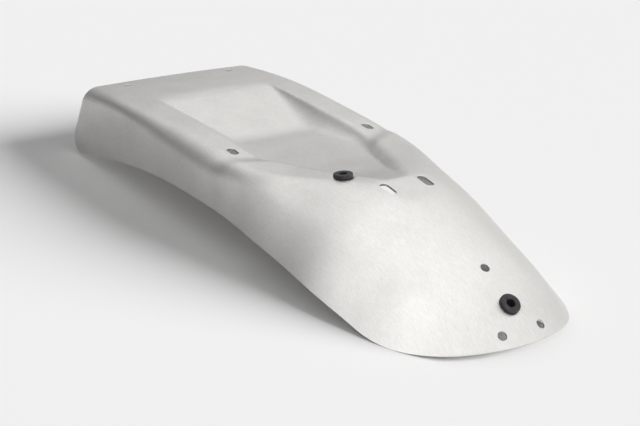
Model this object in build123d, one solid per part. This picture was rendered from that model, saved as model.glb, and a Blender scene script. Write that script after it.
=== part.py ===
"""Motorcycle rear fender: one pressed sheet of brushed aluminium with two rubber cable grommets.

The sheet starts at the seat as a flat-topped channel with upright walls, carries a tapering recess
in its top, and runs out into a rounded tail whose sides lean outwards.
Frame: +X to the tail, +Y to the rider's right, +Z up, millimetres. The fender stands on its front
lower corners and the underside of its tail, and the origin lies on the floor under its middle.
"""
from build123d import *
import os

import numpy as np

# Sheet gauge
SHEET = 2.0

# Cross sections of the shell at these x: a crown arc, a shoulder arc, then a straight wall
STATIONS = (-280.0, -170.0, -60.0, 0.0, 60.0, 150.0, 225.0, 305.0)
# Half width where the shoulder ends and the wall starts
HALF_WIDTHS = (99.7, 98.3, 97.0, 94.1, 84.9, 72.4, 62.1, 58.4)
CROWN_RADII = (3180.0, 3160.0, 2865.0, 2370.0, 762.0, 375.0, 124.0, 87.6)
SHOULDER_RADII = (16.6, 11.8, 19.3, 18.2, 18.1, 69.7, 73.9, 50.7)
# Slope of the wall, degrees from level
WALL_ANGLES = (80.7, 88.2, 93.9, 91.4, 75.8, 58.0, 50.1, 45.6)

# Flat-topped front part: one long arc from front to back
FLANGE_TOP = 77.3
FLANGE_TOP_X = -112.0
FLANGE_ARC_R = 1862.0
# Centre line of the tail shell: x, height
TAIL_LINE = ((0.0, 75.0), (30.0, 75.5), (110.0, 79.15), (155.0, 79.7), (205.0, 64.95), (255.0, 42.1), (305.0, 5.6))
# The step up from the flange to the tail shell, swept forwards near the walls
STEP_X = 35.0
STEP_LENGTH = 30.0
STEP_SWEEP = 0.6
STEP_SWEEP_FROM = 43.0
# Flat pad around the rear slots: x, height
PAD_LINE = ((140.0, 80.6), (176.0, 75.2))

# Recess pressed into the top: a ramp, a floor, and a valley that narrows to end at the pad.
# x, height of the ramp and floor
FLOOR_LINE = ((-168.0, 75.7), (-60.0, 60.7), (52.0, 68.2), (97.0, 72.8), (139.0, 80.5), (180.0, 88.0))
# x, half width of the floor and of the rim
FLOOR_EDGE = ((-168.0, 60.0), (-60.0, 33.0), (10.0, 46.0), (52.0, 33.0), (97.0, 17.5), (139.0, 5.5))
RIM_EDGE = ((-168.0, 61.5), (-10.0, 61.5), (14.0, 61.0), (42.0, 55.0), (82.0, 39.5), (111.0, 28.0), (139.0, 16.5))
# x, length over which the recess wall bends into the rim
RIM_BEND = ((-10.0, 5.5), (42.0, 9.0), (111.0, 9.0), (139.0, 5.0))
FOOT_BEND = 3.0
CORNER_LENGTH = 20.0
CREASE_BLEND = 0.8
RECESS_START = (-190.0, 20.0)

# Outline trimmed from the side: raked front edge, long wheel arch, rising cut under the tail
FRONT_TOP_X = -270.3
FRONT_TOP_Z = 70.0
FRONT_FOOT_X = -297.1
FRONT_CORNER_R = 17.0
ARCH_X = -24.7
ARCH_TOP = 26.9
ARCH_R = 1191.0
TAIL_TIP_X = 302.1
TAIL_TIP_Z = 7.3
TAIL_CUT_ANGLE = 11.0
TAIL_HEEL_R = 172.0

# Holes: centres seen from above, mirrored where the half spacing isn't zero
HOLE_D = 7.0
FRONT_HOLE = (-252.5, 59.0)
TAIL_TOP_HOLE = (249.5, 0.0)
TAIL_HOLE = (292.5, 17.8)
SLOT_WIDTH = 7.0
MIDDLE_SLOT = (-4.0, 70.0)
MIDDLE_SLOT_LENGTH = 14.5
REAR_SLOT = (152.0, 18.0)
REAR_SLOT_LENGTH = 17.5

# Cable grommets, clipped over the edge of their holes
RIDGE_GROMMET = (111.0, -32.5)
TAIL_GROMMET = (277.5, 0.0)
GROMMET_D = 16.0
GROMMET_NECK_D = 11.0
GROMMET_BORE_D = 6.7
GROMMET_TOP = 3.0
GROMMET_BOTTOM = 2.5
GROMMET_ROUND = 0.9
GROMMET_CLEARANCE = 0.1

# Lofting grid
LOFT_FROM = -312.0
LOFT_TO = 312.0
LOFT_STEP = 12.0
TOP_HALF = 50.0
TOP_COLUMNS = 14
SHOULDER_COLUMNS = 13
WALL_DEPTH = 95.0
REACH = 400.0


def spline(points):
    """Curve with continuous bending through (x, value) points."""
    xs, ys = np.array(points, dtype=float).T
    step = np.diff(xs)
    slope = np.diff(ys) / step
    last = len(xs) - 1
    system = np.zeros((last + 1, last + 1))
    system[0, :2] = 2, 1
    system[last, -2:] = 1, 2
    right = np.zeros(last + 1)
    right[0] = 3 * slope[0]
    right[last] = 3 * slope[-1]
    for i in range(1, last):
        system[i, i - 1 : i + 2] = step[i], 2 * (step[i - 1] + step[i]), step[i - 1]
        right[i] = 3 * (slope[i - 1] * step[i] + slope[i] * step[i - 1])
    tangent = np.linalg.solve(system, right)

    def value(x):
        i = np.clip(np.searchsorted(xs, x) - 1, 0, last - 1)
        t = (x - xs[i]) / step[i]
        from_start = ys[i] * (1 + 2 * t) * (1 - t) ** 2 + tangent[i] * step[i] * t * (1 - t) ** 2
        from_end = ys[i + 1] * t * t * (3 - 2 * t) - tangent[i + 1] * step[i] * t * t * (1 - t)
        return from_start + from_end

    return value


def rounded_line(points):
    """Straight runs through (x, value) points with their corners rounded off."""
    xs, ys = np.array(points, dtype=float).T
    offsets = np.linspace(-CORNER_LENGTH / 2, CORNER_LENGTH / 2, 13)

    def value(x):
        return np.mean([np.interp(x + offset, xs, ys) for offset in offsets], axis=0)

    return value


def smooth_step(t):
    """From 0 to 1 with level ends and continuous bending."""
    t = np.clip(t, 0.0, 1.0)
    return t**3 * (t * (6 * t - 15) + 10)


def soft_excess(value, blend):
    """The value where it is above zero, else zero, with a bend from -blend to +blend between them."""
    return np.where(value < blend, np.maximum(value + blend, 0) ** 2 / (4 * blend), value)


half_width = spline(list(zip(STATIONS, HALF_WIDTHS)))
wall_angle = spline(list(zip(STATIONS, np.radians(WALL_ANGLES))))
shoulder_radius = spline(list(zip(STATIONS, SHOULDER_RADII)))
crown_bend = spline(list(zip(STATIONS, 1.0 / np.array(CROWN_RADII))))
tail_line = spline(TAIL_LINE)
floor_line = rounded_line(FLOOR_LINE)
floor_edge = rounded_line(FLOOR_EDGE)
rim_edge = rounded_line(RIM_EDGE)
rim_bend = rounded_line(RIM_BEND)


def section_arcs(x):
    """Crown radius, shoulder radius, angle where the crown arc ends, and wall angle at x."""
    crown_r = 1.0 / crown_bend(x)
    shoulder_r = shoulder_radius(x)
    wall = wall_angle(x)
    crown_end = np.arcsin((half_width(x) - shoulder_r * np.sin(wall)) / (crown_r - shoulder_r))
    return crown_r, shoulder_r, crown_end, wall


def half_section(x, run):
    """Half width and drop below the crown at a length of run along the section."""
    crown_r, shoulder_r, crown_end, wall = section_arcs(x)
    crown_turn = np.minimum(run / crown_r, crown_end)
    shoulder_turn = np.clip(run - crown_r * crown_end, 0, shoulder_r * (wall - crown_end)) / shoulder_r
    wall_run = np.maximum(run - crown_r * crown_end - shoulder_r * (wall - crown_end), 0)
    turned = crown_end + shoulder_turn
    y = crown_r * np.sin(crown_turn) + shoulder_r * (np.sin(turned) - np.sin(crown_end))
    drop = crown_r * (1 - np.cos(crown_turn)) + shoulder_r * (np.cos(crown_end) - np.cos(turned))
    return y + wall_run * np.cos(wall), drop + wall_run * np.sin(wall)


def run_to(x, y):
    """Length along the section from the centre line out to half width y, on its two arcs."""
    crown_r, shoulder_r, crown_end, wall = section_arcs(x)
    crown_y = crown_r * np.sin(crown_end)
    on_crown = crown_r * np.arcsin(np.minimum(y, crown_y) / crown_r)
    reach = np.clip(np.sin(crown_end) + (y - crown_y) / shoulder_r, np.sin(crown_end), 1)
    return on_crown + shoulder_r * (np.arcsin(reach) - crown_end)


def crown_height(x, y):
    """Height of the crown line, with the step from the flange to the tail shell at half width y."""
    flange = FLANGE_TOP - (x - FLANGE_TOP_X) ** 2 / (2 * FLANGE_ARC_R)
    middle = STEP_X - STEP_SWEEP * np.maximum(y - STEP_SWEEP_FROM, 0)
    risen = smooth_step((x - middle) / STEP_LENGTH + 0.5)
    return flange * (1 - risen) + tail_line(x) * risen


def pad_height(x):
    """Height of the flat pad's plane at x."""
    (start, high), (end, low) = PAD_LINE
    return high + (low - high) * (x - start) / (end - start)


def recess_wall(t, foot_bend, top_bend):
    """Rise of the recess wall from floor (0) to rim (1), straight between its two bends."""
    t = np.clip(t, 0.0, 1.0)
    slope = 1.0 / (1.0 - (foot_bend + top_bend) / 2)
    foot = slope * t**2 / (2 * foot_bend)
    top = 1 - slope * (1 - t) ** 2 / (2 * top_bend)
    return np.where(t < foot_bend, foot, np.where(t > 1 - top_bend, top, slope * (t - foot_bend / 2)))


def recess_depth(x, y, z):
    """How far the recess lies below the shell, whose height here is z."""
    floor_y = floor_edge(x)
    width = np.maximum(rim_edge(x) - floor_y, 1.0)
    bends = np.maximum(width, FOOT_BEND + rim_bend(x))
    wall = recess_wall((y - floor_y) / width, FOOT_BEND / bends, rim_bend(x) / bends)
    depth = soft_excess(z - floor_line(x), CREASE_BLEND)
    start = smooth_step((x - RECESS_START[0]) / RECESS_START[1])
    return depth * (1 - wall) * start


def skin_points(x, across):
    """Outer skin at station x: across runs to 1 over the top, 2 at the shoulder's end, 3 down the wall."""
    crown_r, shoulder_r, crown_end, wall = section_arcs(x)
    top_run = run_to(x, TOP_HALF)
    shoulder_run = crown_r * crown_end + shoulder_r * (wall - crown_end)
    part = np.abs(across)
    run = top_run * np.minimum(part, 1) + (shoulder_run - top_run) * np.clip(part - 1, 0, 1)
    run = run + WALL_DEPTH * np.clip(part - 2, 0, 1)
    y, drop = half_section(x, run)
    z = crown_height(x, y) - drop
    z = z - soft_excess(z - pad_height(x), CREASE_BLEND)
    z = z - recess_depth(x, y, z)
    return np.stack([np.full(across.shape, float(x)), np.sign(across) * y, z], axis=1)


def skin_normals(x, across):
    """Outward normals of the outer skin, from small steps along and across it."""
    step_x, step_across = 0.2, 1e-3
    along = skin_points(x + step_x, across) - skin_points(x - step_x, across)
    over = skin_points(x, across + step_across) - skin_points(x, across - step_across)
    normals = np.cross(along, over)
    return normals / np.linalg.norm(normals, axis=1, keepdims=True)


def inner_points(x, across):
    """Inner skin at station x, one gauge inside the outer skin."""
    inner = skin_points(x, across) - SHEET * skin_normals(x, across)
    inner[:, 0] = x
    return inner


def skin_edges(skin, x, across, bounds):
    """Edges across one skin at station x, split at the bounds, tangent to each other."""
    small = 1e-4
    points = skin(x, across)
    tangents = skin(x, across + small) - skin(x, across - small)
    edges = []
    for first, last in zip(bounds[:-1], bounds[1:]):
        run = [tuple(point) for point in points[first : last + 1]]
        if last - first == 1:
            edges.append(Edge.make_line(run[0], run[1]))
        else:
            ends = [tuple(tangents[first] / small), tuple(tangents[last] / small)]
            even = list(np.linspace(0, 1, len(run)))
            edges.append(Edge.make_spline(run, tangents=ends, parameters=even))
    return edges


def sheet_section(x, across, bounds):
    """Closed outline of the sheet at station x: outer skin, lower edge, inner skin, lower edge."""
    outer = skin_edges(skin_points, x, across, bounds)
    inner = skin_edges(inner_points, x, across, bounds)
    right = Edge.make_line(outer[-1] @ 1, inner[-1] @ 1)
    left = Edge.make_line(inner[0] @ 0, outer[0] @ 0)
    return Wire(outer + [right] + inner[::-1] + [left])


def untrimmed_sheet():
    """The pressed sheet before its outline and holes are cut."""
    top = np.linspace(0, 1, TOP_COLUMNS + 1)
    shoulder = np.linspace(1, 2, SHOULDER_COLUMNS + 1)[1:]
    half = np.concatenate([top, shoulder, [3.0]])
    across = np.concatenate([-half[:0:-1], half])
    last = len(across) - 1
    bounds = [0, 1, 1 + SHOULDER_COLUMNS, last - 1 - SHOULDER_COLUMNS, last - 1, last]
    stations = np.linspace(LOFT_FROM, LOFT_TO, round((LOFT_TO - LOFT_FROM) / LOFT_STEP) + 1)
    return Solid.make_loft([sheet_section(x, across, bounds) for x in stations])


def arch_height(x):
    """Height of the wheel arch line at x."""
    return ARCH_TOP - ARCH_R + np.sqrt(ARCH_R**2 - (x - ARCH_X) ** 2)


def heel_x():
    """Where the wheel arch line meets the cut under the tail."""
    rise = np.tan(np.radians(TAIL_CUT_ANGLE))
    offset = TAIL_TIP_Z - rise * TAIL_TIP_X - (ARCH_TOP - ARCH_R)
    roots = np.roots([1 + rise**2, 2 * (rise * offset - ARCH_X), ARCH_X**2 + offset**2 - ARCH_R**2])
    return float(max(roots.real))


def side_profile():
    """Everything that the side outline keeps, as a block across the full width."""
    foot = (FRONT_FOOT_X, float(arch_height(FRONT_FOOT_X)))
    heel = (heel_x(), float(arch_height(heel_x())))
    rake = (FRONT_TOP_X - foot[0]) / (FRONT_TOP_Z - foot[1])
    rise = np.tan(np.radians(TAIL_CUT_ANGLE))
    front_high = (foot[0] + rake * (REACH - foot[1]), REACH)
    tail_low = (REACH, TAIL_TIP_Z + rise * (REACH - TAIL_TIP_X))
    arch = ThreePointArc(foot, (ARCH_X, ARCH_TOP), heel)
    outline = Polyline(heel, tail_low, (REACH, REACH), front_high, foot)
    face = make_face(Plane.XZ * (arch + outline))
    face = fillet_near(face, heel, TAIL_HEEL_R)
    face = fillet_near(face, foot, FRONT_CORNER_R)
    return extrude(face, amount=REACH, both=True)


def fillet_near(face, corner, radius):
    """Round the corner of a side-view face that lies nearest to (x, z)."""
    target = Vector(corner[0], 0, corner[1])
    vertex = min(face.vertices(), key=lambda v: (Vector(*v) - target).length)
    return fillet(vertex, radius)


def across_to(x, y):
    """Value of across at which the outer skin is y from the centre line."""
    crown_r, shoulder_r, crown_end, wall = section_arcs(x)
    top_run = run_to(x, TOP_HALF)
    shoulder_run = crown_r * crown_end + shoulder_r * (wall - crown_end)
    run = run_to(x, abs(y))
    part = run / top_run if run < top_run else 1 + (run - top_run) / (shoulder_run - top_run)
    return np.array([np.sign(y) * part])


def skin_plane(x, y):
    """Plane on the outer skin at (x, y), its x direction running along the fender."""
    across = across_to(x, y)
    point = skin_points(x, across)[0]
    normal = skin_normals(x, across)[0]
    return Plane(origin=tuple(point), x_dir=(normal[2], 0, -normal[0]), z_dir=tuple(normal))


def seat_plane(centre):
    """Plane on the skin at a grommet's centre, level with the skin around the grommet's edge."""
    tangent = skin_plane(*centre)
    edge = GROMMET_D / 2
    along = skin_offset(tangent, edge, 0) - skin_offset(tangent, -edge, 0)
    side = skin_offset(tangent, 0, edge) - skin_offset(tangent, 0, -edge)
    return Plane(origin=tangent.origin, x_dir=tuple(along), z_dir=tuple(np.cross(along, side)))


def skin_offset(plane, along, side):
    """Point of the outer skin over or under a point of the plane."""
    spot = plane.from_local_coords((along, side, 0))
    return skin_points(spot.X, across_to(spot.X, spot.Y))[0]


def seat_heights(plane):
    """Lowest and highest skin under a grommet's rings, measured from the plane."""
    heights = []
    for radius in (GROMMET_NECK_D / 2, GROMMET_D / 2):
        for turn in np.linspace(0, 2 * np.pi, 24, endpoint=False):
            point = skin_offset(plane, radius * np.cos(turn), radius * np.sin(turn))
            heights.append(plane.to_local_coords(Vector(*point)).Z)
    return min(heights), max(heights)


def mirrored(centre):
    """The centre and, unless it lies on the centre line, its mirror image."""
    x, y = centre
    return [(x, y)] if y == 0 else [(x, y), (x, -y)]


def hole_cutters():
    """Solids that cut every hole square to the skin."""
    depth = 4 * SHEET
    cutters = []
    for centre in mirrored(FRONT_HOLE) + mirrored(TAIL_TOP_HOLE) + mirrored(TAIL_HOLE):
        cutters.append(extrude(skin_plane(*centre) * Circle(HOLE_D / 2), amount=depth, both=True))
    for centre, length in ((MIDDLE_SLOT, MIDDLE_SLOT_LENGTH), (REAR_SLOT, REAR_SLOT_LENGTH)):
        for place in mirrored(centre):
            slot = skin_plane(*place) * SlotOverall(length, SLOT_WIDTH)
            cutters.append(extrude(slot, amount=depth, both=True))
    for centre in (RIDGE_GROMMET, TAIL_GROMMET):
        hole_d = GROMMET_NECK_D + 2 * GROMMET_CLEARANCE
        cutters.append(extrude(seat_plane(centre) * Circle(hole_d / 2), amount=depth, both=True))
    return cutters


def grommet(centre):
    """Rubber ring with a groove for the sheet's edge, square to the skin at its centre."""
    seat_r = GROMMET_D / 2
    neck_r = GROMMET_NECK_D / 2
    bore_r = GROMMET_BORE_D / 2
    plane = seat_plane(centre)
    lowest, highest = seat_heights(plane)
    groove_top = highest + GROMMET_CLEARANCE
    groove_bottom = lowest - SHEET - GROMMET_CLEARANCE
    top = groove_top + GROMMET_TOP
    bottom = groove_bottom - GROMMET_BOTTOM
    outline = Polyline(
        (bore_r, bottom),
        (seat_r, bottom),
        (seat_r, groove_bottom),
        (neck_r, groove_bottom),
        (neck_r, groove_top),
        (seat_r, groove_top),
        (seat_r, top),
        (bore_r, top),
        close=True,
    )
    profile = make_face(outline)
    profile = fillet(profile.vertices().sort_by(Axis.X)[-4:], GROMMET_ROUND)
    profile = chamfer(profile.vertices().sort_by(Axis.X)[:2], GROMMET_ROUND / 2)
    return plane * revolve(Plane.XZ * profile, Axis.Z)


def standing(sheet):
    """Move that puts the origin on the floor under the middle of the sheet, going by its edges."""
    boxes = [edge.bounding_box() for edge in sheet.edges()]
    front = min(box.min.X for box in boxes)
    tail = max(box.max.X for box in boxes)
    lowest = min(box.min.Z for box in boxes)
    return Location((-(front + tail) / 2, 0, -lowest))


fender = untrimmed_sheet() & side_profile()
for cutter in hole_cutters():
    fender = fender - cutter
stand = standing(fender)

nodes = {
    "fender_sheet": fender,
    "ridge_cable_grommet": grommet(RIDGE_GROMMET),
    "tail_cable_grommet": grommet(TAIL_GROMMET),
}
os.makedirs("parts", exist_ok=True)
for name, shape in nodes.items():
    export_step(stand * shape, f"parts/{name}.step")
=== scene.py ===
"""Motorcycle rear fender: finished sheet of brushed aluminium, rubber grommets, studio and camera."""
import math

import bpy
import numpy as np
from mathutils import Matrix
from mathutils.geometry import delaunay_2d_cdt


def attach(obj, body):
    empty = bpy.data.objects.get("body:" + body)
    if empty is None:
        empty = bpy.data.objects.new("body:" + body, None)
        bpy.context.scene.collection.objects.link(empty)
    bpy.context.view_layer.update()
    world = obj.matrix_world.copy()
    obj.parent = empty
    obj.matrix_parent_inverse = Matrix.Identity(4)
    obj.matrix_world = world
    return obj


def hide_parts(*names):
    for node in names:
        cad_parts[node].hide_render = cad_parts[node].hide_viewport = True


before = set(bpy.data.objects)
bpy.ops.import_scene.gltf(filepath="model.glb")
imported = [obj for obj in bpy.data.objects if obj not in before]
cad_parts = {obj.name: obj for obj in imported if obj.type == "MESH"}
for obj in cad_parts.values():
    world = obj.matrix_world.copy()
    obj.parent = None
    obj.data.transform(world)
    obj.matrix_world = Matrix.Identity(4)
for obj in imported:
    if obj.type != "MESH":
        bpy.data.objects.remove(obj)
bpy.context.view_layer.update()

MM = 0.001

# Form of the pressed sheet in millimetres and degrees, x from front to tail. All but FOOT_BEND are
# the solid model's own sizes: the photograph shows a longer bend at the foot of the recess walls.
SHEET = 2.0
STATIONS = (-280.0, -170.0, -60.0, 0.0, 60.0, 150.0, 225.0, 305.0)
HALF_WIDTHS = (99.7, 98.3, 97.0, 94.1, 84.9, 72.4, 62.1, 58.4)
CROWN_RADII = (3180.0, 3160.0, 2865.0, 2370.0, 762.0, 375.0, 124.0, 87.6)
SHOULDER_RADII = (16.6, 11.8, 19.3, 18.2, 18.1, 69.7, 73.9, 50.7)
WALL_ANGLES = (80.7, 88.2, 93.9, 91.4, 75.8, 58.0, 50.1, 45.6)
FLANGE_TOP = 77.3
FLANGE_TOP_X = -112.0
FLANGE_ARC_R = 1862.0
TAIL_LINE = (
    (0.0, 75.0),
    (30.0, 75.5),
    (110.0, 79.15),
    (155.0, 79.7),
    (205.0, 64.95),
    (255.0, 42.1),
    (305.0, 5.6),
)
STEP_X = 35.0
STEP_LENGTH = 30.0
STEP_SWEEP = 0.6
STEP_SWEEP_FROM = 43.0
PAD_LINE = ((140.0, 80.6), (176.0, 75.2))
FLOOR_LINE = (
    (-168.0, 75.7),
    (-60.0, 60.7),
    (52.0, 68.2),
    (97.0, 72.8),
    (139.0, 80.5),
    (180.0, 88.0),
)
FLOOR_EDGE = (
    (-168.0, 60.0),
    (-60.0, 33.0),
    (10.0, 46.0),
    (52.0, 33.0),
    (97.0, 17.5),
    (139.0, 5.5),
)
RIM_EDGE = (
    (-168.0, 61.5),
    (-10.0, 61.5),
    (14.0, 61.0),
    (42.0, 55.0),
    (82.0, 39.5),
    (111.0, 28.0),
    (139.0, 16.5),
)
RIM_BEND = ((-10.0, 5.5), (42.0, 9.0), (111.0, 9.0), (139.0, 5.0))
FOOT_BEND = ((-168.0, 26.0), (-60.0, 22.0), (20.0, 7.0), (60.0, 3.0))
CORNER_LENGTH = 20.0
CORNER_SAMPLES = 13
CREASE_BLEND = 0.8
RECESS_START = (-190.0, 20.0)
FRONT_TOP = (-270.3, 70.0)
FRONT_FOOT_X = -297.1
FRONT_CORNER_R = 17.0
ARCH_X = -24.7
ARCH_TOP = 26.9
ARCH_R = 1191.0
TAIL_TIP = (302.1, 7.3)
TAIL_CUT_ANGLE = 11.0
TAIL_HEEL_R = 172.0
HOLE_D = 7.0
FRONT_HOLE = (-252.5, 59.0)
TAIL_TOP_HOLE = (249.5, 0.0)
TAIL_HOLE = (292.5, 17.8)
SLOT_WIDTH = 7.0
MIDDLE_SLOT = (-4.0, 70.0, 14.5)
REAR_SLOT = (152.0, 18.0, 17.5)
RIDGE_GROMMET = (111.0, -32.5)
TAIL_GROMMET = (277.5, 0.0)
GROMMET_D = 16.0
GROMMET_NECK_D = 11.0
GROMMET_BORE_D = 6.7
GROMMET_TOP = 3.0
GROMMET_BOTTOM = 2.5
GROMMET_CLEARANCE = 0.1

# The corners of a grommet's section are rounded by these radii
BORE_ROUND = 0.5
FLANGE_ROUND = 0.9
SEAT_ROUND = 0.35
NECK_ROUND = 0.2

# Move from the sheet's own axes to the shared frame, in millimetres
STAND = np.array([-7.511004, 0.0, 0.320027])

# Meshes, in millimetres and counts: no grid point lies nearer to an edge than NEAREST_SHARE of GRID
GRID = 2.15
NEAREST_SHARE = 0.55
EDGE_STEP = 1.7
HOLE_STEP = 0.55
EDGE_ROUND = 0.45
ROUND_STEPS = 3
GROMMET_SIDES = 96
SEAT_SAMPLES = 24
CORNER_STEPS = 6
GRID_CHUNKS = 40
TOUCH_LIMIT = 1e-7
MERGE_LIMIT = 1e-3
LEAST_STEPS = 6

# The side outline starts and ends past the sheet: by a share of the front's rake, and in millimetres
HEEL_NEAR_X = 240.0
FRONT_OVERSHOOT = 0.3
TAIL_OVERSHOOT = 15.0

# Ranges and steps of the searches for the rim, and of the crown line's length
WALL_RUNS = (20.0, 230.0)
FRONT_XS = (-310.0, -250.0)
TAIL_XS = (270.0, 312.0)
TAIL_TURN_RUN = 25.0
RIM_SAMPLES = 1500
CROWN_REACH = 320.0
CROWN_SAMPLES = 2561
HALVINGS = 50
SMALL = 1e-3
NORMAL_STEP = 0.1
LONGEST_MOVE = 5.0
LONGEST_RIM_MOVE = 2.0
SOLVE_ROUNDS = 8
PLACE_ROUNDS = 5
RIM_ROUNDS = 6


def spline(points):
    """Curve with continuous bending through (x, value) points."""
    xs, ys = np.array(points, dtype=float).T
    step = np.diff(xs)
    slope = np.diff(ys) / step
    last = len(xs) - 1
    system = np.zeros((last + 1, last + 1))
    system[0, :2] = 2, 1
    system[last, -2:] = 1, 2
    right = np.zeros(last + 1)
    right[0] = 3 * slope[0]
    right[last] = 3 * slope[-1]
    for i in range(1, last):
        system[i, i - 1 : i + 2] = step[i], 2 * (step[i - 1] + step[i]), step[i - 1]
        right[i] = 3 * (slope[i - 1] * step[i] + slope[i] * step[i - 1])
    tangent = np.linalg.solve(system, right)

    def value(x):
        i = np.clip(np.searchsorted(xs, x) - 1, 0, last - 1)
        t = (x - xs[i]) / step[i]
        from_start = ys[i] * (1 + 2 * t) * (1 - t) ** 2 + tangent[i] * step[i] * t * (1 - t) ** 2
        from_end = ys[i + 1] * t * t * (3 - 2 * t) - tangent[i + 1] * step[i] * t * t * (1 - t)
        return from_start + from_end

    return value


def rounded_line(points):
    """Straight runs through (x, value) points with their corners rounded off."""
    xs, ys = np.array(points, dtype=float).T
    offsets = np.linspace(-CORNER_LENGTH / 2, CORNER_LENGTH / 2, CORNER_SAMPLES)

    def value(x):
        return np.mean([np.interp(x + offset, xs, ys) for offset in offsets], axis=0)

    return value


def smooth_step(t):
    """From 0 to 1 with level ends and continuous bending."""
    t = np.clip(t, 0.0, 1.0)
    return t**3 * (t * (6 * t - 15) + 10)


def soft_excess(value, blend):
    """The value where it is above zero, else zero, with a bend from -blend to +blend between them."""
    return np.where(value < blend, np.maximum(value + blend, 0) ** 2 / (4 * blend), value)


half_width = spline(list(zip(STATIONS, HALF_WIDTHS)))
wall_angle = spline(list(zip(STATIONS, np.radians(WALL_ANGLES))))
shoulder_radius = spline(list(zip(STATIONS, SHOULDER_RADII)))
crown_bend = spline(list(zip(STATIONS, 1.0 / np.array(CROWN_RADII))))
tail_line = spline(TAIL_LINE)
floor_line = rounded_line(FLOOR_LINE)
floor_edge = rounded_line(FLOOR_EDGE)
rim_edge = rounded_line(RIM_EDGE)
rim_bend = rounded_line(RIM_BEND)
foot_bend = rounded_line(FOOT_BEND)


def section_arcs(x):
    """Crown radius, shoulder radius, angle where the crown arc ends, and wall angle at x."""
    crown_r = 1.0 / crown_bend(x)
    shoulder_r = shoulder_radius(x)
    wall = wall_angle(x)
    crown_end = np.arcsin((half_width(x) - shoulder_r * np.sin(wall)) / (crown_r - shoulder_r))
    return crown_r, shoulder_r, crown_end, wall


def half_section(x, run):
    """Half width and drop below the crown at a length of run along the section."""
    crown_r, shoulder_r, crown_end, wall = section_arcs(x)
    crown_turn = np.minimum(run / crown_r, crown_end)
    shoulder_turn = np.clip(run - crown_r * crown_end, 0, shoulder_r * (wall - crown_end)) / shoulder_r
    wall_run = np.maximum(run - crown_r * crown_end - shoulder_r * (wall - crown_end), 0)
    turned = crown_end + shoulder_turn
    y = crown_r * np.sin(crown_turn) + shoulder_r * (np.sin(turned) - np.sin(crown_end))
    drop = crown_r * (1 - np.cos(crown_turn)) + shoulder_r * (np.cos(crown_end) - np.cos(turned))
    return y + wall_run * np.cos(wall), drop + wall_run * np.sin(wall)


def run_to(x, y):
    """Length along the section from the centre line out to half width y, on its two arcs."""
    crown_r, shoulder_r, crown_end, _ = section_arcs(x)
    crown_y = crown_r * np.sin(crown_end)
    on_crown = crown_r * np.arcsin(np.minimum(y, crown_y) / crown_r)
    reach = np.clip(np.sin(crown_end) + (y - crown_y) / shoulder_r, np.sin(crown_end), 1)
    return on_crown + shoulder_r * (np.arcsin(reach) - crown_end)


def crown_height(x, y):
    """Height of the crown line, with the step from the flange to the tail shell at half width y."""
    flange = FLANGE_TOP - (x - FLANGE_TOP_X) ** 2 / (2 * FLANGE_ARC_R)
    middle = STEP_X - STEP_SWEEP * np.maximum(y - STEP_SWEEP_FROM, 0)
    risen = smooth_step((x - middle) / STEP_LENGTH + 0.5)
    return flange * (1 - risen) + tail_line(x) * risen


def pad_height(x):
    """Height of the flat pad's plane at x."""
    (start, high), (end, low) = PAD_LINE
    return high + (low - high) * (x - start) / (end - start)


def recess_wall(t, foot_bend, top_bend):
    """Rise of the recess wall from floor (0) to rim (1), straight between its two bends."""
    t = np.clip(t, 0.0, 1.0)
    slope = 1.0 / (1.0 - (foot_bend + top_bend) / 2)
    foot = slope * t**2 / (2 * foot_bend)
    top = 1 - slope * (1 - t) ** 2 / (2 * top_bend)
    return np.where(t < foot_bend, foot, np.where(t > 1 - top_bend, top, slope * (t - foot_bend / 2)))


def recess_depth(x, y, z):
    """How far the recess lies below the shell, whose height here is z."""
    floor_y = floor_edge(x)
    width = np.maximum(rim_edge(x) - floor_y, 1.0)
    bends = np.maximum(width, foot_bend(x) + rim_bend(x))
    wall = recess_wall((y - floor_y) / width, foot_bend(x) / bends, rim_bend(x) / bends)
    depth = soft_excess(z - floor_line(x), CREASE_BLEND)
    start = smooth_step((x - RECESS_START[0]) / RECESS_START[1])
    return depth * (1 - wall) * start


def outer_skin(place):
    """Points of the outer skin at (x, run) places; run is negative on the left."""
    x, run = place[..., 0], place[..., 1]
    y, drop = half_section(x, np.abs(run))
    z = crown_height(x, y) - drop
    z = z - soft_excess(z - pad_height(x), CREASE_BLEND)
    z = z - recess_depth(x, y, z)
    return np.stack([x, np.sign(run) * y, z], axis=-1)


def skin_normal(place):
    """Outward normals of the sheet at (x, run) places."""
    along = np.array([NORMAL_STEP, 0.0])
    across = np.array([0.0, NORMAL_STEP])
    forward = outer_skin(place + along) - outer_skin(place - along)
    sideways = outer_skin(place + across) - outer_skin(place - across)
    normal = np.cross(forward, sideways)
    return normal / np.linalg.norm(normal, axis=-1, keepdims=True)


def skin(place, depth):
    """Points of the sheet at a depth below its outer skin."""
    return outer_skin(place) - depth * skin_normal(place)


def solve_place(place, miss, rounds=SOLVE_ROUNDS):
    """Moves (x, run) places until both values of miss(place) are zero."""
    for _ in range(rounds):
        value = miss(place)
        by_x = (miss(place + [SMALL, 0.0]) - value) / SMALL
        by_run = (miss(place + [0.0, SMALL]) - value) / SMALL
        slopes = np.stack([by_x, by_run], axis=-1)
        move = np.linalg.solve(slopes, value[..., None])[..., 0]
        place = place - np.clip(move, -LONGEST_MOVE, LONGEST_MOVE)
    return place


def place_above(points, start, depth):
    """The (x, run) places whose points at a depth lie nearest to the given points."""
    normal = skin_normal(start)
    first = np.cross(normal, [0.0, 1.0, 0.0]) + np.cross(normal, [1.0, 0.0, 0.0])
    first /= np.linalg.norm(first, axis=-1, keepdims=True)
    second = np.cross(normal, first)

    def miss(place):
        gap = skin(place, depth) - points
        return np.stack([(gap * first).sum(-1), (gap * second).sum(-1)], axis=-1)

    return solve_place(start, miss, PLACE_ROUNDS)


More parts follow.
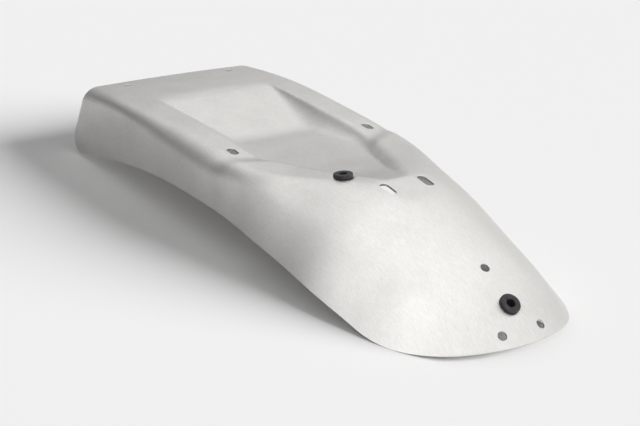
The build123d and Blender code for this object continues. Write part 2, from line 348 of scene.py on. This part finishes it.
class SideLine:
    """Straight stretch of the side outline, from one (x, z) point to another, the sheet on its left."""

    def __init__(self, start, end):
        self.start, self.end = np.array(start), np.array(end)
        direction = (self.end - self.start) / np.linalg.norm(self.end - self.start)
        self.normal = np.array([-direction[1], direction[0]])

    def at(self, t):
        return self.start + np.multiply.outer(t, self.end - self.start)

    def off(self, side):
        return (side - self.start) @ self.normal


class SideArc:
    """Arc of the side outline about a centre, between two angles."""

    def __init__(self, centre, radius, start, end):
        self.centre, self.radius = np.array(centre), radius
        self.angles = [math.atan2(p[1] - centre[1], p[0] - centre[0]) for p in (start, end)]
        turn = self.angles[1] - self.angles[0]
        self.turn = (turn + math.pi) % (2 * math.pi) - math.pi

    def at(self, t):
        angle = self.angles[0] + self.turn * t
        return self.centre + self.radius * np.stack([np.cos(angle), np.sin(angle)], axis=-1)

    def off(self, side):
        return np.linalg.norm(side - self.centre, axis=-1) - self.radius


def arch_fillet(point, direction, radius, nearest_x):
    """Centre of a fillet between the wheel arch and a line, inside the sheet, and its two ends."""
    direction = np.array(direction) / np.linalg.norm(direction)
    normal = np.array([-direction[1], direction[0]])
    arch_centre = np.array([ARCH_X, ARCH_TOP - ARCH_R])
    base = np.array(point) + radius * normal - arch_centre
    middle = base @ direction
    spread = math.sqrt(middle**2 - base @ base + (ARCH_R + radius) ** 2)
    centres = [arch_centre + base + (sign * spread - middle) * direction for sign in (-1, 1)]
    centre = min(centres, key=lambda c: abs(c[0] - nearest_x))
    on_arch = arch_centre + (centre - arch_centre) * ARCH_R / (ARCH_R + radius)
    return centre, centre - radius * normal, on_arch


def side_outline():
    """Stretches of the side outline from the front's top, round under the arch, to the tail."""
    foot_z = ARCH_TOP - ARCH_R + math.sqrt(ARCH_R**2 - (FRONT_FOOT_X - ARCH_X) ** 2)
    foot = np.array([FRONT_FOOT_X, foot_z])
    rake = foot - np.array(FRONT_TOP)
    slope = math.radians(TAIL_CUT_ANGLE)
    cut = np.array([math.cos(slope), math.sin(slope)])
    front_c, front_end, front_arch = arch_fillet(FRONT_TOP, rake, FRONT_CORNER_R, FRONT_FOOT_X)
    heel_c, heel_end, heel_arch = arch_fillet(TAIL_TIP, cut, TAIL_HEEL_R, HEEL_NEAR_X)
    arch_centre = (ARCH_X, ARCH_TOP - ARCH_R)
    high = np.array(FRONT_TOP) - rake * FRONT_OVERSHOOT
    return [
        SideLine(high, front_end),
        SideArc(front_c, FRONT_CORNER_R, front_end, front_arch),
        SideArc(arch_centre, ARCH_R, front_arch, heel_arch),
        SideArc(heel_c, TAIL_HEEL_R, heel_arch, heel_end),
        SideLine(heel_end, np.array(TAIL_TIP) + cut * TAIL_OVERSHOOT),
    ]


def wall_places(stretch, t):
    """Places on the right wall under points of a side stretch, found by halving."""
    side = stretch.at(t)
    low = np.full(len(t), WALL_RUNS[0])
    high = np.full(len(t), WALL_RUNS[1])
    for _ in range(HALVINGS):
        middle = (low + high) / 2
        above = outer_skin(np.stack([side[:, 0], middle], axis=-1))[:, 2] > side[:, 1]
        low, high = np.where(above, middle, low), np.where(above, high, middle)
    return np.stack([side[:, 0], low], axis=-1)


def cross_places(stretch, runs, between):
    """Places at the given runs where a side stretch crosses the shell, with x in the range between."""

    def side_of(x):
        return np.sign(stretch.off(outer_skin(np.stack([x, runs], axis=-1))[:, [0, 2]]))

    low = np.full(len(runs), between[0])
    high = np.full(len(runs), between[1])
    start = side_of(low)
    for _ in range(HALVINGS):
        middle = (low + high) / 2
        same = side_of(middle) == start
        low, high = np.where(same, middle, low), np.where(same, high, middle)
    return np.stack([low, runs], axis=-1)


def even_run(places, step):
    """Places spread evenly by length along a fine run of places, ends included."""
    points = outer_skin(places)
    length = np.concatenate([[0.0], np.cumsum(np.linalg.norm(np.diff(points, axis=0), axis=1))])
    count = max(int(round(length[-1] / step)), 2)
    wanted = np.linspace(0, length[-1], count + 1)
    return np.stack([np.interp(wanted, length, places[:, i]) for i in (0, 1)], axis=-1)


def rim_places():
    """Loop of places round the outer skin, sheet on its left, and the side stretch each lies on."""
    front, front_arc, arch, heel, cut = side_outline()
    fine = np.linspace(0, 1, RIM_SAMPLES)
    arc_start = wall_places(front_arc, np.array([0.0]))[0]
    turn = cross_places(cut, np.array([TAIL_TURN_RUN]), TAIL_XS)[0]
    turn_t = (turn[0] - cut.start[0]) / (cut.end[0] - cut.start[0])
    tail_side = wall_places(cut, fine * turn_t)
    tail_end = cross_places(cut, (1 - fine[1:]) * TAIL_TURN_RUN, TAIL_XS)
    runs = [
        (front, cross_places(front, fine * arc_start[1], FRONT_XS)),
        (front_arc, wall_places(front_arc, fine)),
        (arch, wall_places(arch, fine)),
        (heel, wall_places(heel, fine)),
        (cut, np.concatenate([tail_side, tail_end])),
    ]
    places, stretches = [], []
    for stretch, run in runs:
        even = even_run(run, EDGE_STEP)[:-1]
        places += list(even)
        stretches += [stretch] * len(even)
    right = np.array(places)
    left = right[:0:-1] * [1, -1]
    loop = np.concatenate([right, tail_end[-1:], left])
    around = stretches + [cut] + stretches[:0:-1]
    return loop[::-1], around[::-1]


def loop_ways(points):
    """Unit directions along a closed loop of points."""
    way = np.roll(points, -1, axis=0) - np.roll(points, 1, axis=0)
    return way / np.linalg.norm(way, axis=1, keepdims=True)


def rim_at_depth(loop, stretches, depth):
    """The rim's places on the skin at a depth, moved square to the rim in the sheet."""
    way = loop_ways(loop)
    square = np.stack([-way[:, 1], way[:, 0]], axis=-1)

    def off(moved):
        side = skin(loop + moved[:, None] * square, depth)[:, [0, 2]]
        return np.array([stretch.off(point) for stretch, point in zip(stretches, side)])

    moved = np.zeros(len(loop))
    for _ in range(RIM_ROUNDS):
        value = off(moved)
        slope = (off(moved + SMALL) - value) / SMALL
        moved = moved - np.clip(value / slope, -LONGEST_RIM_MOVE, LONGEST_RIM_MOVE)
    return loop + moved[:, None] * square


def unit(vectors):
    """The vectors at length 1."""
    return vectors / np.linalg.norm(vectors, axis=-1, keepdims=True)


def place_at(x, y):
    """The (x, run) place of the outer skin that is y from the centre line."""
    return np.array([x, np.sign(y) * run_to(x, abs(y))])


def hole_axes(x, y):
    """Place and centre of a hole square to the skin, and its directions along, across and out."""
    place = place_at(x, y)
    out = skin_normal(place)
    along = unit(np.array([out[2], 0.0, -out[0]]))
    return place, outer_skin(place), along, np.cross(out, along), out


def skin_offset(axes, along, across):
    """Point of the outer skin over or under a point given along and across a hole's directions."""
    spot = axes[1] + along * axes[2] + across * axes[3]
    return outer_skin(place_at(spot[0], spot[1]))


def seat_axes(x, y):
    """A grommet's place, centre and directions, level with the skin around the grommet's edge."""
    axes = hole_axes(x, y)
    edge = GROMMET_D / 2
    along = unit(skin_offset(axes, edge, 0.0) - skin_offset(axes, -edge, 0.0))
    side = skin_offset(axes, 0.0, edge) - skin_offset(axes, 0.0, -edge)
    out = unit(np.cross(along, side))
    return axes[0], axes[1], along, np.cross(out, along), out


def seat_heights(axes):
    """Lowest and highest skin under a grommet's rings, measured along its axis."""
    heights = []
    for radius in (GROMMET_NECK_D / 2, GROMMET_D / 2):
        for turn in np.linspace(0, 2 * math.pi, SEAT_SAMPLES, endpoint=False):
            point = skin_offset(axes, radius * math.cos(turn), radius * math.sin(turn))
            heights.append((point - axes[1]) @ axes[4])
    return min(heights), max(heights)


def slot_points(length, width):
    """Outline of a round-ended slot about the origin, clockwise, with even steps."""
    half = (length - width) / 2
    radius = width / 2
    steps = max(int(round(math.pi * radius / HOLE_STEP)), LEAST_STEPS)
    points = []
    for side in (1, -1):
        for k in range(steps + 1):
            angle = math.pi * (0.5 - k / steps)
            points.append((side * (half + radius * math.cos(angle)), side * radius * math.sin(angle)))
        if half > 0:
            straight = int(round(2 * half / HOLE_STEP))
            points += [(side * half * (1 - 2 * k / straight), -side * radius) for k in range(1, straight)]
    if half <= 0:
        points = [p for k, p in enumerate(points) if k not in (steps, 2 * steps + 1)]
    return np.array(points)


def hole_places(axes, outline, depth):
    """Places of a hole's outline on the skin at a depth."""
    place, centre, along, across, _ = axes

    def miss(places):
        gap = skin(places, depth) - centre
        return np.stack([gap @ along, gap @ across], axis=-1) - outline

    return solve_place(np.tile(place, (len(outline), 1)) + outline, miss)


def inside_loop(places, loop):
    """Which places lie inside a closed loop."""
    inside = np.zeros(len(places), dtype=bool)
    ends = np.roll(loop, -1, axis=0)
    for (x0, r0), (x1, r1) in zip(loop, ends):
        if r0 == r1:
            continue
        crosses = (places[:, 1] < max(r0, r1)) & (places[:, 1] >= min(r0, r1))
        at = x0 + (places[:, 1] - r0) * (x1 - x0) / (r1 - r0)
        inside ^= crosses & (places[:, 0] < at)
    return inside


fine_x = np.linspace(-CROWN_REACH, CROWN_REACH, CROWN_SAMPLES)
fine_crown = crown_height(fine_x, 0.0)
fine_length = np.concatenate([[0.0], np.cumsum(np.hypot(np.diff(fine_x), np.diff(fine_crown)))])


def flat(places):
    """Places with x replaced by length along the crown line, so that the grid is even."""
    return np.stack([np.interp(places[:, 0], fine_x, fine_length), places[:, 1]], axis=-1)


def unflat(places):
    """The opposite of flat."""
    return np.stack([np.interp(places[:, 0], fine_length, fine_x), places[:, 1]], axis=-1)


def skin_triangles(loops):
    """Places and triangles that fill the first loop and leave the others open; loops come first."""
    flat_loops = [flat(loop) for loop in loops]
    edge_points = np.concatenate(flat_loops)
    low, high = flat_loops[0].min(axis=0), flat_loops[0].max(axis=0)
    rows = np.arange(low[0], high[0], GRID)
    half_columns = int(high[1] / GRID) + 1
    columns = np.arange(-half_columns, half_columns + 1) * GRID
    grid = np.stack(np.meshgrid(rows, columns, indexing="ij"), axis=-1)
    grid[1::2, :, 1] += GRID / 2
    grid = grid.reshape(-1, 2)
    keep = inside_loop(grid, flat_loops[0])
    for hole in flat_loops[1:]:
        keep &= ~inside_loop(grid, hole)
    grid = grid[keep]
    near = np.zeros(len(grid), dtype=bool)
    for chunk in np.array_split(np.arange(len(grid)), GRID_CHUNKS):
        gap = np.linalg.norm(grid[chunk][:, None] - edge_points[None], axis=-1)
        near[chunk] = gap.min(axis=1) < GRID * NEAREST_SHARE
    grid = grid[~near]
    points = np.concatenate([edge_points, grid])
    edges, start = [], 0
    for loop in loops:
        count = len(loop)
        edges += [(start + k, start + (k + 1) % count) for k in range(count)]
        start += count
    result = delaunay_2d_cdt([tuple(p) for p in points], edges, [], 0, TOUCH_LIMIT)
    triangles = np.array([face for face in result[2] if len(face) == 3])
    made = np.array([tuple(p) for p in result[0]])
    if np.abs(made[: len(points)] - points).max() > MERGE_LIMIT:
        raise ValueError("the triangulation moved or merged points of the sheet")
    middle = made[triangles].mean(axis=1)
    keep = inside_loop(middle, flat_loops[0])
    for hole in flat_loops[1:]:
        keep &= ~inside_loop(middle, hole)
    triangles = triangles[keep]
    a, b, c = (made[triangles[:, k]] for k in range(3))
    turn = (b[:, 0] - a[:, 0]) * (c[:, 1] - a[:, 1]) - (b[:, 1] - a[:, 1]) * (c[:, 0] - a[:, 0])
    triangles = np.where((turn < 0)[:, None], triangles[:, ::-1], triangles)
    return np.concatenate(list(loops) + [unflat(grid), unflat(made[len(points) :])]), triangles


def corner_curve(start, corner, end):
    """Rings between two rings of points, round a corner that they leave tangentially."""
    rings = []
    for k in range(1, ROUND_STEPS + 1):
        t = k / (ROUND_STEPS + 1)
        rings.append((1 - t) ** 2 * start + 2 * t * (1 - t) * corner + t * t * end)
    return rings


def list_holes():
    """Axes and outline of every hole: the round ones, the slots and the grommets' holes."""
    holes = []
    for x, y in (FRONT_HOLE, TAIL_TOP_HOLE, TAIL_HOLE):
        for side in (1, -1) if y else (1,):
            holes.append((hole_axes(x, side * y), slot_points(HOLE_D, HOLE_D)))
    for x, y, length in (MIDDLE_SLOT, REAR_SLOT):
        for side in (1, -1):
            holes.append((hole_axes(x, side * y), slot_points(length, SLOT_WIDTH)))
    neck = GROMMET_NECK_D + 2 * GROMMET_CLEARANCE
    for x, y in (RIDGE_GROMMET, TAIL_GROMMET):
        holes.append((seat_axes(x, y), slot_points(neck, neck)))
    return holes


def inset_loop(loop, depth):
    """A loop on the skin at a depth, moved into the sheet by the rounding of its edge."""
    point = skin(loop, depth)
    inward = unit(np.cross(skin_normal(loop), loop_ways(point)))
    return place_above(point + EDGE_ROUND * inward, loop, depth)


def edge_band(top, low, corner_top, corner_low):
    """Rings of a cut edge from the outer skin to the inner one, both corners rounded, and normals."""
    down = unit(corner_low - corner_top)
    top_end = corner_top + EDGE_ROUND * down
    low_end = corner_low - EDGE_ROUND * down
    upper = corner_curve(top, corner_top, top_end)
    lower = corner_curve(low_end, corner_low, low)
    rings = upper + [top_end, low_end] + lower
    around = [top] + rings + [low]
    way = loop_ways(corner_top)
    normals = [unit(np.cross(around[k + 2] - around[k], way)) for k in range(len(rings))]
    return rings, normals


def build_sheet():
    """Vertices, faces, normals and (x, run) of every vertex of the finished sheet."""
    rim, stretches = rim_places()
    holes = list_holes()
    outer = [rim] + [hole_places(axes, outline, 0.0) for axes, outline in holes]
    inner_rim = rim_at_depth(rim, stretches, SHEET)
    inner = [inner_rim] + [hole_places(axes, outline, SHEET) for axes, outline in holes]
    points, normals, places, faces, starts = [], [], [], [], []
    total = 0
    for loops, depth in ((outer, 0.0), (inner, SHEET)):
        inset = [inset_loop(loop, depth) for loop in loops]
        filled, triangles = skin_triangles(inset)
        out = skin_normal(filled)
        points.append(outer_skin(filled) - depth * out)
        normals.append(-out if depth else out)
        places.append(filled)
        faces += ((triangles[:, ::-1] if depth else triangles) + total).tolist()
        starts.append(total + np.cumsum([0] + [len(loop) for loop in inset[:-1]]))
        total += len(filled)
    skins = np.concatenate(points)
    for number, (outer_loop, inner_loop) in enumerate(zip(outer, inner)):
        count = len(outer_loop)
        around = np.arange(count)
        top_ids, low_ids = (start[number] + around for start in starts)
        corner_top, corner_low = skin(outer_loop, 0.0), skin(inner_loop, SHEET)
        rings, ring_normals = edge_band(skins[top_ids], skins[low_ids], corner_top, corner_low)
        points += rings
        normals += ring_normals
        places += [outer_loop] * len(rings)
        ring_ids = [total + k * count + around for k in range(len(rings))]
        total += len(rings) * count
        ids = [top_ids] + ring_ids + [low_ids]
        for upper, lower in zip(ids[:-1], ids[1:]):
            after = [np.roll(lower, -1), np.roll(upper, -1)]
            faces += np.stack([upper, lower] + after, axis=1).tolist()
    return np.concatenate(points), faces, np.concatenate(normals), np.concatenate(places)


def make_object(name, points, faces, normals=None):
    """Smooth mesh object in the shared frame, from points in metres."""
    mesh = bpy.data.meshes.new(name)
    mesh.from_pydata([tuple(p) for p in points], [], faces)
    mesh.shade_smooth()
    if normals is not None:
        mesh.normals_split_custom_set_from_vertices([tuple(n) for n in normals])
    mesh.update()
    piece = bpy.data.objects.new(name, mesh)
    bpy.context.scene.collection.objects.link(piece)
    return piece


sheet_points, sheet_faces, sheet_normals, sheet_places = build_sheet()
sheet = make_object("fender_skin", (sheet_points + STAND) * MM, sheet_faces, sheet_normals)
grain = sheet.data.uv_layers.new(name="grain")
corners = np.zeros(len(sheet.data.loops), dtype=np.int32)
sheet.data.loops.foreach_get("vertex_index", corners)
grain_places = flat(sheet_places) * MM
grain.data.foreach_set("uv", grain_places[corners].astype(np.float32).ravel())
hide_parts("fender_sheet")
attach(sheet, "root")


def grommet_profile(axes):
    """Section of a rubber grommet, as (radius, height) points from the bore's foot round to its top."""
    lowest, highest = seat_heights(axes)
    groove_top = highest + GROMMET_CLEARANCE
    groove_bottom = lowest - SHEET - GROMMET_CLEARANCE
    top = groove_top + GROMMET_TOP
    bottom = groove_bottom - GROMMET_BOTTOM
    bore, neck, seat = GROMMET_BORE_D / 2, GROMMET_NECK_D / 2, GROMMET_D / 2
    corners = [
        (bore, bottom, BORE_ROUND),
        (seat, bottom, FLANGE_ROUND),
        (seat, groove_bottom, SEAT_ROUND),
        (neck, groove_bottom, NECK_ROUND),
        (neck, groove_top, NECK_ROUND),
        (seat, groove_top, SEAT_ROUND),
        (seat, top, FLANGE_ROUND),
        (bore, top, BORE_ROUND),
    ]
    profile = []
    for k, (r, z, radius) in enumerate(corners):
        here = np.array([r, z])
        before = unit(np.array(corners[k - 1][:2]) - here)
        after = unit(np.array(corners[(k + 1) % len(corners)][:2]) - here)
        for turn in np.linspace(0, math.pi / 2, CORNER_STEPS + 1):
            profile.append(here + radius * ((1 - math.sin(turn)) * before + (1 - math.cos(turn)) * after))
    return np.array(profile)


def build_grommet(name, centre, node):
    """Turned rubber grommet on the skin at a (x, y) centre."""
    axes = seat_axes(*centre)
    profile = grommet_profile(axes)
    _, origin, along, across, out = axes
    points = []
    for angle in np.linspace(0, 2 * math.pi, GROMMET_SIDES, endpoint=False):
        way = math.cos(angle) * along + math.sin(angle) * across
        points.append(origin + profile[:, :1] * way + profile[:, 1:] * out)
    count = len(profile)
    faces = []
    for a in range(GROMMET_SIDES):
        b = (a + 1) % GROMMET_SIDES
        for k in range(count):
            after = (k + 1) % count
            faces.append((a * count + k, b * count + k, b * count + after, a * count + after))
    piece = make_object(name, (np.concatenate(points) + STAND) * MM, faces)
    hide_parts(node)
    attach(piece, "root")
    return piece


ridge_grommet = build_grommet("ridge_grommet", RIDGE_GROMMET, "ridge_cable_grommet")
tail_grommet = build_grommet("tail_grommet", TAIL_GROMMET, "tail_cable_grommet")


def node(tree, kind, **inputs):
    """Adds a shader node and sets its plain inputs by name."""
    made = tree.nodes.new(kind)
    for key, value in inputs.items():
        made.inputs[key.replace("_", " ")].default_value = value
    return made


def new_material(name):
    """Empty node material, its tree and its output."""
    material = bpy.data.materials.new(name)
    material.use_nodes = True
    tree = material.node_tree
    tree.nodes.clear()
    output = tree.nodes.new("ShaderNodeOutputMaterial")
    return material, tree, output


def stretched_noise(tree, source, scale, detail, roughness):
    """Noise whose grain is scaled along each axis of the source coordinates."""
    mapping = tree.nodes.new("ShaderNodeMapping")
    mapping.inputs["Scale"].default_value = scale
    tree.links.new(source, mapping.inputs["Vector"])
    noise = node(tree, "ShaderNodeTexNoise", Scale=1.0, Detail=detail, Roughness=roughness)
    tree.links.new(mapping.outputs["Vector"], noise.inputs["Vector"])
    return noise.outputs["Fac"]


def ranged(tree, source, low, high, to_low, to_high):
    """A value moved from one range to another, clamped."""
    made = node(tree, "ShaderNodeMapRange")
    made.inputs["From Min"].default_value = low
    made.inputs["From Max"].default_value = high
    made.inputs["To Min"].default_value = to_low
    made.inputs["To Max"].default_value = to_high
    tree.links.new(source, made.inputs["Value"])
    return made.outputs["Result"]


def math_node(tree, operation, first, second):
    """Result of an operation on two values, each a plain number or an output."""
    made = tree.nodes.new("ShaderNodeMath")
    made.operation = operation
    for number, value in enumerate((first, second)):
        if isinstance(value, (int, float)):
            made.inputs[number].default_value = value
        else:
            tree.links.new(value, made.inputs[number])
    return made.outputs["Value"]


def blended(tree, first, share, second):
    """A share of the first value and the rest of the second."""
    one = math_node(tree, "MULTIPLY", first, share)
    other = math_node(tree, "MULTIPLY", second, 1.0 - share)
    return math_node(tree, "ADD", one, other)


def between_colours(tree, factor, first, second):
    """Colour between two colours, by a factor."""
    tint = tree.nodes.new("ShaderNodeMix")
    tint.data_type = "RGBA"
    tint.inputs["A"].default_value = first
    tint.inputs["B"].default_value = second
    tree.links.new(factor, tint.inputs["Factor"])
    return tint.outputs["Result"]


def add_bump(tree, shader, height, strength, distance):
    """Fine relief on a shader, from a height value."""
    bump = node(tree, "ShaderNodeBump", Strength=strength, Distance=distance)
    tree.links.new(height, bump.inputs["Height"])
    tree.links.new(bump.outputs["Normal"], shader.inputs["Normal"])


# Grain of the metal, in waves a metre along the sheet, across it and through it
FINE_GRAIN = (380.0, 1400.0, 1.0)
WIDE_GRAIN = (130.0, 700.0, 1.0)
CLOUDS = (28.0, 36.0, 1.0)
METAL_DARK = (0.68, 0.671, 0.652, 1.0)
METAL_LIGHT = (0.87, 0.86, 0.837, 1.0)
METAL_ROUGH = 0.48
METAL_SMOOTH = 0.4
FINE_SHARE = 0.6
GRAIN_SHARE = 0.75
GRAIN_BUMP = 0.25
GRAIN_DEPTH = 0.00006
NOISE_RANGE = (0.3, 0.7)

# Pits and dust of the rubber, in waves a metre
PITS = (1500.0, 1500.0, 1500.0)
DUST = (220.0, 220.0, 220.0)
RUBBER_DARK = (0.012, 0.012, 0.013, 1.0)
RUBBER_DUSTY = (0.035, 0.035, 0.036, 1.0)
RUBBER_SMOOTH = 0.42
RUBBER_ROUGH = 0.62
DUST_RANGE = (0.35, 0.65)
PIT_BUMP = 0.35
PIT_DEPTH = 0.0001


def brushed_aluminium():
    """Satin aluminium with fine brushed grain along the sheet and faint cloudy handling marks."""
    material, tree, output = new_material("brushed_aluminium")
    shader = node(tree, "ShaderNodeBsdfPrincipled", Metallic=1.0, Anisotropic=0.9)
    shader.inputs["Anisotropic Rotation"].default_value = 0.25
    tree.links.new(shader.outputs["BSDF"], output.inputs["Surface"])
    place = tree.nodes.new("ShaderNodeUVMap")
    place.uv_map = "grain"
    along = tree.nodes.new("ShaderNodeTangent")
    along.direction_type = "UV_MAP"
    along.uv_map = "grain"
    tree.links.new(along.outputs["Tangent"], shader.inputs["Tangent"])
    sheet_place = place.outputs["UV"]
    fine = stretched_noise(tree, sheet_place, FINE_GRAIN, detail=3.0, roughness=0.75)
    wide = stretched_noise(tree, sheet_place, WIDE_GRAIN, detail=2.0, roughness=0.6)
    clouds = stretched_noise(tree, sheet_place, CLOUDS, detail=3.0, roughness=0.55)
    both = blended(tree, fine, FINE_SHARE, wide)
    level = blended(tree, both, GRAIN_SHARE, clouds)
    share = ranged(tree, level, *NOISE_RANGE, 0.0, 1.0)
    colour = between_colours(tree, share, METAL_DARK, METAL_LIGHT)
    tree.links.new(colour, shader.inputs["Base Color"])
    rough = ranged(tree, level, *NOISE_RANGE, METAL_ROUGH, METAL_SMOOTH)
    tree.links.new(rough, shader.inputs["Roughness"])
    add_bump(tree, shader, both, GRAIN_BUMP, GRAIN_DEPTH)
    return material


def black_rubber():
    """Dark moulded rubber with a dusty, finely pitted surface."""
    material, tree, output = new_material("black_rubber")
    shader = node(tree, "ShaderNodeBsdfPrincipled", Specular_IOR_Level=0.3)
    tree.links.new(shader.outputs["BSDF"], output.inputs["Surface"])
    place = tree.nodes.new("ShaderNodeTexCoord")
    pits = stretched_noise(tree, place.outputs["Object"], PITS, detail=3.0, roughness=0.6)
    dust = stretched_noise(tree, place.outputs["Object"], DUST, detail=3.0, roughness=0.6)
    share = ranged(tree, dust, *DUST_RANGE, 0.0, 1.0)
    colour = between_colours(tree, share, RUBBER_DARK, RUBBER_DUSTY)
    tree.links.new(colour, shader.inputs["Base Color"])
    rough = ranged(tree, dust, *NOISE_RANGE, RUBBER_SMOOTH, RUBBER_ROUGH)
    tree.links.new(rough, shader.inputs["Roughness"])
    add_bump(tree, shader, pits, PIT_BUMP, PIT_DEPTH)
    return material


sheet.data.materials.append(brushed_aluminium())
rubber = black_rubber()
for piece in (ridge_grommet, tail_grommet):
    piece.data.materials.append(rubber)
for name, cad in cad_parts.items():
    cad.data.materials.clear()
    cad.data.materials.append(sheet.data.materials[0] if name == "fender_sheet" else rubber)

# Studio: pale floor, soft surroundings and one low, wide key light from the right of the tail
FLOOR_SIZE = 40.0
FLOOR_COLOUR = (0.86, 0.86, 0.86, 1.0)
WHITE = (1.0, 1.0, 1.0, 1.0)
LIGHT_STRENGTH = 0.36
HORIZON_STRENGTH = 0.54
OVERHEAD_STRENGTH = 1.33
KEY_ENERGY = 6.0
KEY_ANGLE = 32.0
KEY_FROM = (42.0, 20.0)

# Patches of the surroundings: azimuth, elevation, and the cosines of their edge and their full part
OVERHEAD = (0.0, 90.0, 0.12, 1.0)
DARK_SIDE = (218.0, 4.0, 0.72, 0.88)
DIM_SIDE = (122.0, 6.0, 0.86, 0.99)
BRIGHT_SIDE = (256.0, 32.0, 0.84, 1.0)
FAR_GLOW = (176.0, 38.0, 0.87, 1.0)
DIM_LEFT = 0.3
BRIGHT_ADDED = 0.95
GLOW_ADDED = 0.25


def floor_material():
    """Plain pale floor."""
    material, tree, output = new_material("studio_floor")
    pale = node(tree, "ShaderNodeBsdfDiffuse", Color=FLOOR_COLOUR)
    tree.links.new(pale.outputs["BSDF"], output.inputs["Surface"])
    return material


bpy.ops.mesh.primitive_plane_add(size=FLOOR_SIZE, location=(0.0, 0.0, 0.0))
floor = bpy.context.object
floor.name = "studio_floor"
floor.data.materials.append(floor_material())


def direction(azimuth, elevation):
    """Unit vector at angles in degrees, counted from +X towards +Y and upwards."""
    around, up = math.radians(azimuth), math.radians(elevation)
    return math.cos(up) * math.cos(around), math.cos(up) * math.sin(around), math.sin(up)


def towards(tree, source, patch):
    """From 0 outside a patch of directions to 1 in its full part, eased between them."""
    azimuth, elevation, edge, full = patch
    dot = tree.nodes.new("ShaderNodeVectorMath")
    dot.operation = "DOT_PRODUCT"
    dot.inputs[1].default_value = direction(azimuth, elevation)
    tree.links.new(source, dot.inputs[0])
    eased = node(tree, "ShaderNodeMapRange")
    eased.interpolation_type = "SMOOTHSTEP"
    eased.inputs["From Min"].default_value = edge
    eased.inputs["From Max"].default_value = full
    tree.links.new(dot.outputs["Value"], eased.inputs["Value"])
    return eased.outputs["Result"]


def studio_world():
    """Soft white surroundings, brightest overhead, with dark and bright sides that show in the metal."""
    world = bpy.data.worlds.new("studio")
    world.use_nodes = True
    tree = world.node_tree
    tree.nodes.clear()
    output = tree.nodes.new("ShaderNodeOutputWorld")
    around = tree.nodes.new("ShaderNodeTexCoord").outputs["Generated"]
    height = towards(tree, around, OVERHEAD)
    overhead = ranged(tree, height, 0.0, 1.0, HORIZON_STRENGTH, OVERHEAD_STRENGTH)
    dark = ranged(tree, towards(tree, around, DARK_SIDE), 0.0, 1.0, 1.0, 0.0)
    dim = ranged(tree, towards(tree, around, DIM_SIDE), 0.0, 1.0, 1.0, DIM_LEFT)
    bright = math_node(tree, "MULTIPLY", towards(tree, around, BRIGHT_SIDE), BRIGHT_ADDED)
    glow = math_node(tree, "MULTIPLY", towards(tree, around, FAR_GLOW), GLOW_ADDED)
    shade = math_node(tree, "MULTIPLY", dark, dim)
    shaded = math_node(tree, "MULTIPLY", overhead, shade)
    strength = math_node(tree, "ADD", shaded, math_node(tree, "ADD", bright, glow))
    seen = node(tree, "ShaderNodeBackground", Color=WHITE)
    tree.links.new(strength, seen.inputs["Strength"])
    light = node(tree, "ShaderNodeBackground", Color=WHITE, Strength=LIGHT_STRENGTH)
    path = tree.nodes.new("ShaderNodeLightPath").outputs
    rays = math_node(tree, "MAXIMUM", path["Is Camera Ray"], path["Is Glossy Ray"])
    rays = math_node(tree, "MAXIMUM", rays, path["Is Transmission Ray"])
    mix = tree.nodes.new("ShaderNodeMixShader")
    tree.links.new(rays, mix.inputs["Fac"])
    tree.links.new(light.outputs["Background"], mix.inputs[1])
    tree.links.new(seen.outputs["Background"], mix.inputs[2])
    tree.links.new(mix.outputs["Shader"], output.inputs["Surface"])
    return world


def placed(right, up, back, place):
    """Matrix at a place with the given directions for its X, Y and Z axes."""
    rows = [[right[k], up[k], back[k], place[k]] for k in range(3)]
    return Matrix(rows + [[0.0, 0.0, 0.0, 1.0]])


bpy.context.scene.world = studio_world()
key_data = bpy.data.lights.new("key", "SUN")
key_data.energy = KEY_ENERGY
key_data.angle = math.radians(KEY_ANGLE)
key = bpy.data.objects.new("key", key_data)
key_back = np.array(direction(*KEY_FROM))
key_right = unit(np.cross([0.0, 0.0, 1.0], key_back))
key.matrix_world = placed(key_right, np.cross(key_back, key_right), key_back, key_back)
key.visible_glossy = False
bpy.context.scene.collection.objects.link(key)

# Camera at the photograph's viewing angle
CAMERA_PLACE = (0.82732, -0.51485, 0.39223)
CAMERA_RIGHT = (0.53494, 0.84486, 0.00744)
CAMERA_UP = (-0.31512, 0.19134, 0.92956)
CAMERA_BACK = (0.78393, -0.49960, 0.36859)
FOCAL_PIXELS = 1165.0
PHOTO_WIDTH = 640.0
HALF_PIXEL = 0.5
SENSOR_WIDTH = 36.0
camera_data = bpy.data.cameras.new("camera")
camera_data.sensor_width = SENSOR_WIDTH
camera_data.lens = FOCAL_PIXELS / PHOTO_WIDTH * SENSOR_WIDTH
camera_data.shift_x = -HALF_PIXEL / PHOTO_WIDTH
camera_data.shift_y = HALF_PIXEL / PHOTO_WIDTH
camera = bpy.data.objects.new("camera", camera_data)
camera.matrix_world = placed(CAMERA_RIGHT, CAMERA_UP, CAMERA_BACK, CAMERA_PLACE)
bpy.context.scene.collection.objects.link(camera)
bpy.context.scene.camera = camera
bpy.context.scene.view_settings.view_transform = "Standard"
